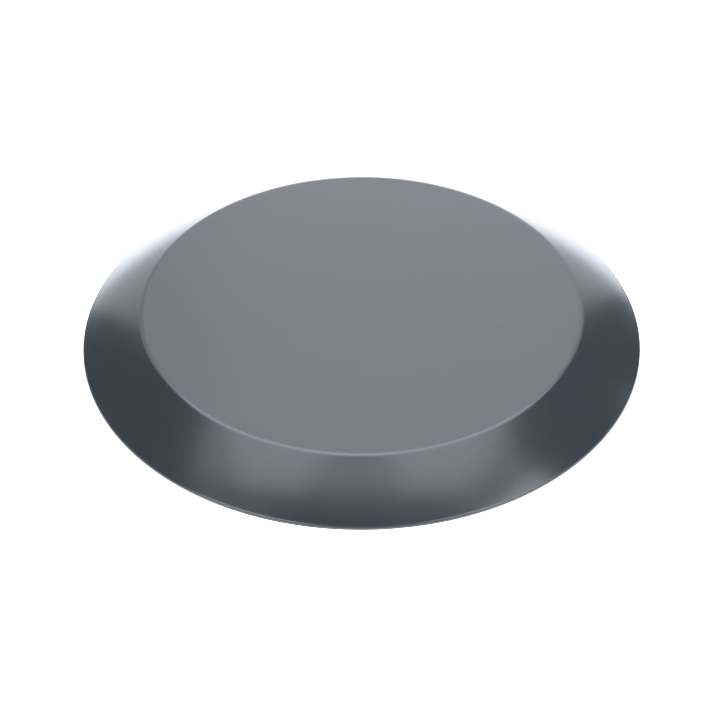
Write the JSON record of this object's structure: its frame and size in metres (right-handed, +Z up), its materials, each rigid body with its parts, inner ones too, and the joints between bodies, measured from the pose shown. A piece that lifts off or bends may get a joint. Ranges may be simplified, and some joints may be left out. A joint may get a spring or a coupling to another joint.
{
  "type": "manhole cover",
  "caption": "Round lift-off manhole cover: a smooth painted steel cap with sloping sides, welded ribs, a clamped rubber gasket and a locating ring underneath.",
  "frame": {"origin": "centre of the circle that the rim stands on, at ground level", "axes": "+Z up along the axis of the round cover, +X along rib_1"},
  "size_m": [0.7, 0.7, 0.0455],
  "materials": {
    "cover_paint": "smooth satin slate-grey stoved paint with faint handling marks",
    "frame_paint": "thinner satin dark grey paint over welded mild steel bar",
    "gasket_rubber": "matt black sealing rubber",
    "fastener_zinc": "bright zinc-plated steel"
  },
  "bodies": {
    "root": {"cover_shell": "cover_paint", "rim_ring": "frame_paint", "hub_tube": "frame_paint", "rib_1": "frame_paint", "rib_2": "frame_paint", "rib_3": "frame_paint", "rib_4": "frame_paint", "rib_5": "frame_paint", "rib_6": "frame_paint", "rib_7": "frame_paint", "rib_8": "frame_paint", "stiffener_ring": "frame_paint", "gasket": "gasket_rubber", "clamp_ring": "frame_paint", "locating_ring": "frame_paint", "weld_stud_1": "fastener_zinc", "weld_stud_2": "fastener_zinc", "weld_stud_3": "fastener_zinc", "weld_stud_4": "fastener_zinc", "weld_stud_5": "fastener_zinc", "weld_stud_6": "fastener_zinc", "weld_stud_7": "fastener_zinc", "weld_stud_8": "fastener_zinc", "washer_1": "fastener_zinc", "washer_2": "fastener_zinc", "washer_3": "fastener_zinc", "washer_4": "fastener_zinc", "washer_5": "fastener_zinc", "washer_6": "fastener_zinc", "washer_7": "fastener_zinc", "washer_8": "fastener_zinc", "nut_1": "fastener_zinc", "nut_2": "fastener_zinc", "nut_3": "fastener_zinc", "nut_4": "fastener_zinc", "nut_5": "fastener_zinc", "nut_6": "fastener_zinc", "nut_7": "fastener_zinc", "nut_8": "fastener_zinc"}
  },
  "joints": []
}
